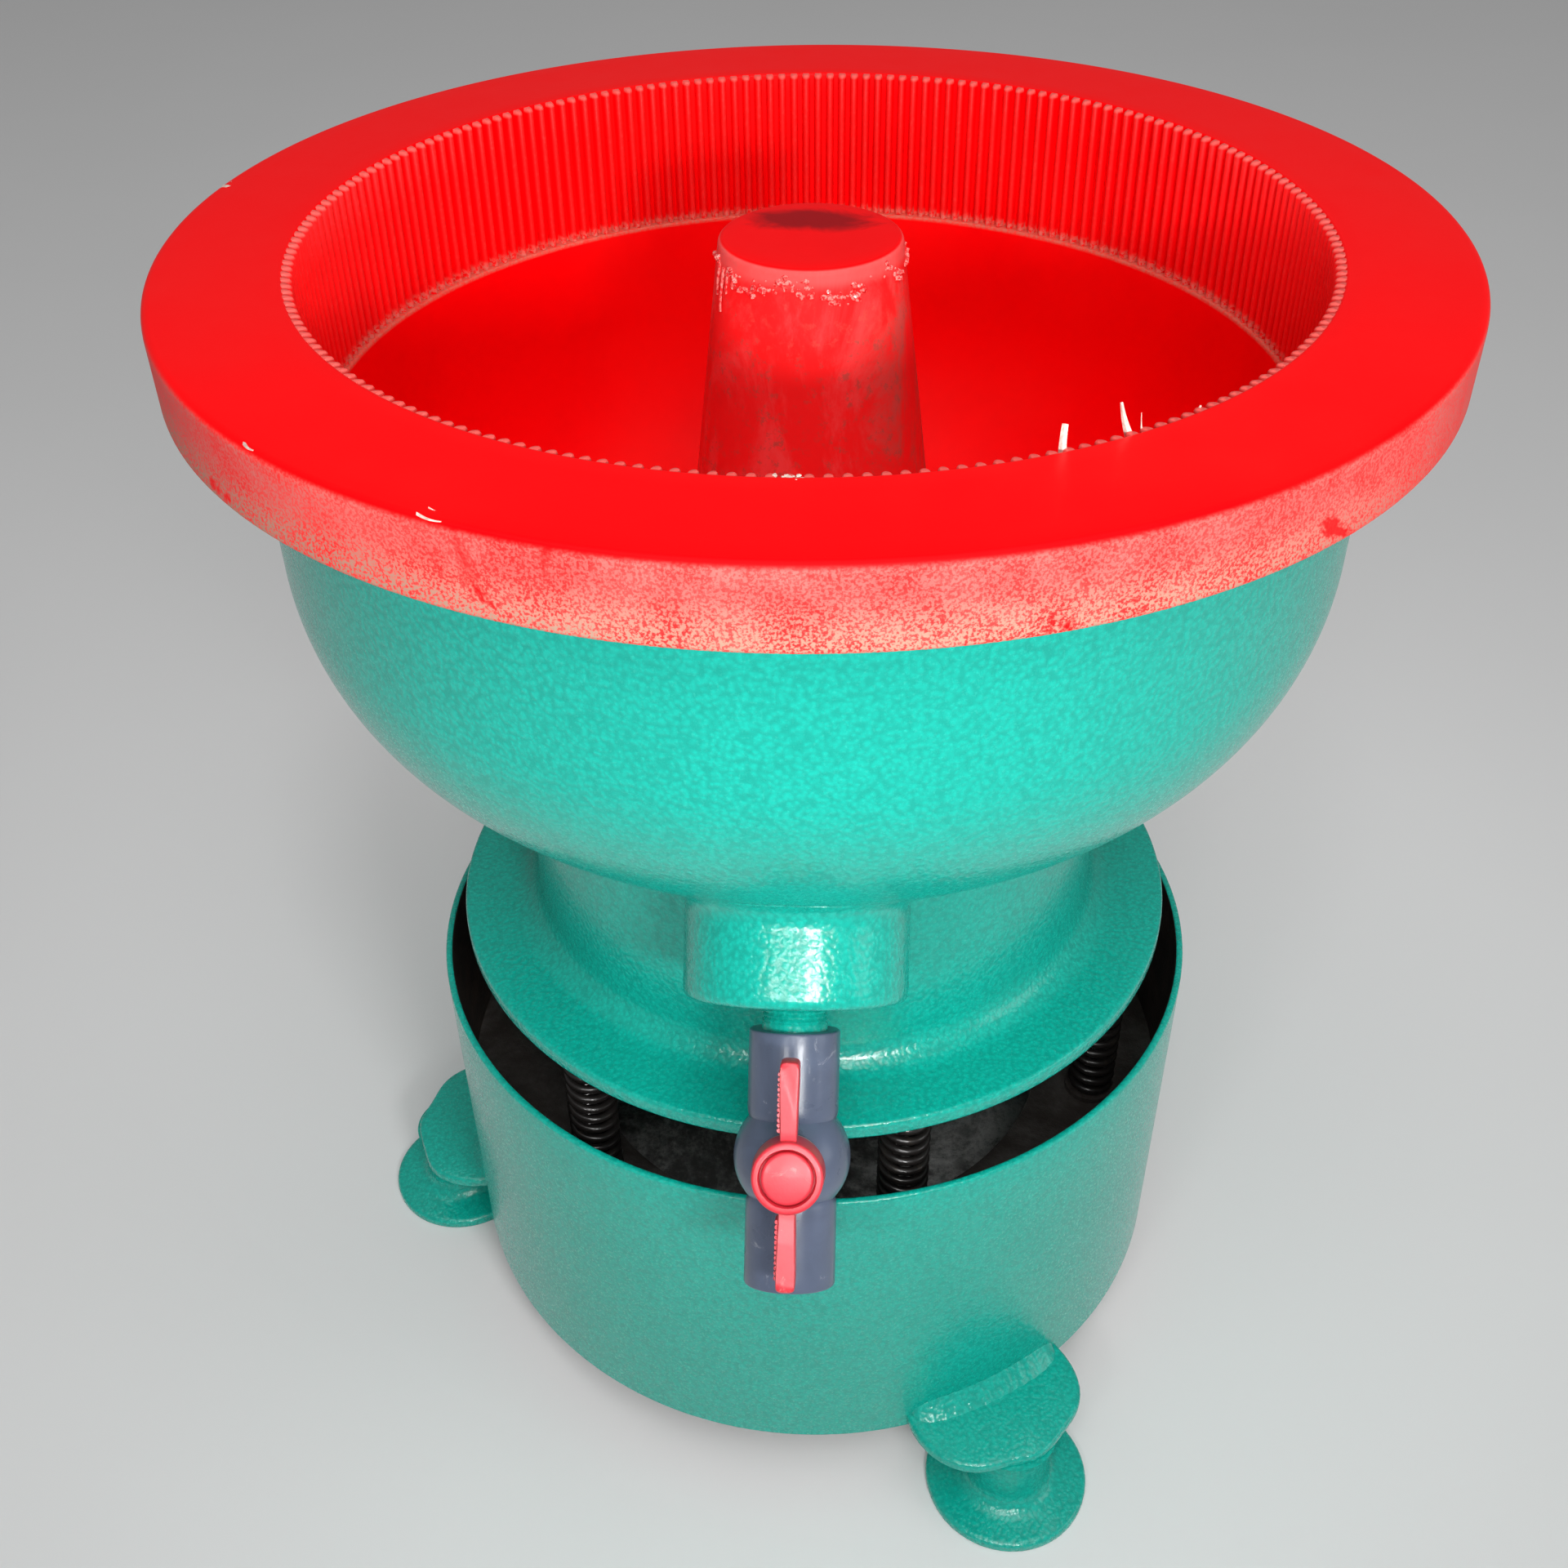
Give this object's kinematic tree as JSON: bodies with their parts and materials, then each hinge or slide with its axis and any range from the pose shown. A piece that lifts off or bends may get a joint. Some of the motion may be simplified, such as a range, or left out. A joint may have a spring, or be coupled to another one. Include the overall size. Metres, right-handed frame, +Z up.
{
  "type": "vibratory rock tumbler",
  "caption": "Bowl-type vibratory rock tumbler: a rubber-lined annular bowl with a hub, a drain ball valve and a motor, on coil springs over a round footed base.",
  "frame": {"origin": "on the floor at the machine's vertical axis", "axes": "+Z up along the bowl's axis, -Y towards the drain valve, +X to the right seen from the valve"},
  "size_m": [0.5, 0.5231, 0.58],
  "materials": {
    "hammertone": "glossy turquoise-green hammertone enamel",
    "red_polyurethane": "cast red polyurethane, glossy top, worn outer band",
    "blue_grey_upvc": "satin moulded plastic",
    "red_handle_plastic": "moulded red plastic",
    "white_seal": "pale sealing plastic",
    "spring_black": "glossy black coated spring steel",
    "black_paint": "dull black-brown primer",
    "dusty_plate": "rough black plate with grey dust",
    "cast_iron": "rough dark casting",
    "machined_steel": "machined steel",
    "lamination_steel": "stacked steel sheets",
    "copper_winding": "varnished copper wire",
    "black_plastic": "moulded black plastic",
    "black_rubber": "nitrile rubber"
  },
  "bodies": {
    "base": {"drum_shell": "hammertone", "spring_shelf": "black_paint", "bottom_plate": "dusty_plate", "lower_spring_cups": "black_paint", "springs": "spring_black", "cable_gland": "black_plastic", "gland_nut": "black_plastic", "foot_tab_right": "hammertone", "foot_tab_rear": "hammertone", "foot_tab_left": "hammertone", "foot_stand_right": "hammertone", "foot_stand_rear": "hammertone", "foot_stand_left": "hammertone"},
    "bowl": {"bowl_casting": "hammertone", "bowl_liner": "red_polyurethane", "hub_core": "cast_iron", "hub_tie_bolt": "machined_steel", "drain_strainer": "machined_steel", "drain_nipple": "hammertone", "valve_body": "blue_grey_upvc", "valve_seats": "white_seal", "valve_seal_ring": "white_seal", "upper_spring_cups": "black_paint", "motor_housing": "cast_iron", "motor_bolts": "machined_steel", "motor_top_cover": "cast_iron", "motor_bottom_cover": "cast_iron", "upper_bearing": "machined_steel", "lower_bearing": "machined_steel", "stator_core": "lamination_steel", "stator_windings": "copper_winding", "terminal_box": "cast_iron"},
    "handle": {"valve_handle": "red_handle_plastic", "handle_cap": "red_handle_plastic", "valve_stem": "white_seal", "stem_o_rings": "black_rubber", "valve_ball": "blue_grey_upvc"},
    "rotor": {"motor_shaft": "machined_steel", "rotor_core": "lamination_steel", "upper_weight": "cast_iron", "upper_weight_bolt": "machined_steel"},
    "trim_weight": {"lower_weight": "cast_iron", "lower_weight_bolt": "machined_steel"}
  },
  "joints": [
    {"name": "bowl_bounce", "type": "slide", "parent": "base", "child": "bowl", "axis": [0, 0, 1], "range_m": [-0.004, 0.004], "stiffness_N_per_m": 126000, "springref_m": 0.00574, "deforming": ["springs"]},
    {"name": "rotor_spin", "type": "hinge", "parent": "bowl", "child": "rotor", "pos_m": [0, 0, 0.2], "axis": [0, 0, 1], "continuous": true},
    {"name": "weight_angle", "type": "hinge", "parent": "rotor", "child": "trim_weight", "pos_m": [0, 0, 0.127], "axis": [0, 0, 1], "range_deg": [-90, 90]},
    {"name": "drain_handle", "type": "hinge", "parent": "bowl", "child": "handle", "pos_m": [0, -0.21402, 0.28782], "axis": [0, -0.7771, 0.6293], "range_deg": [0, 90]}
  ]
}
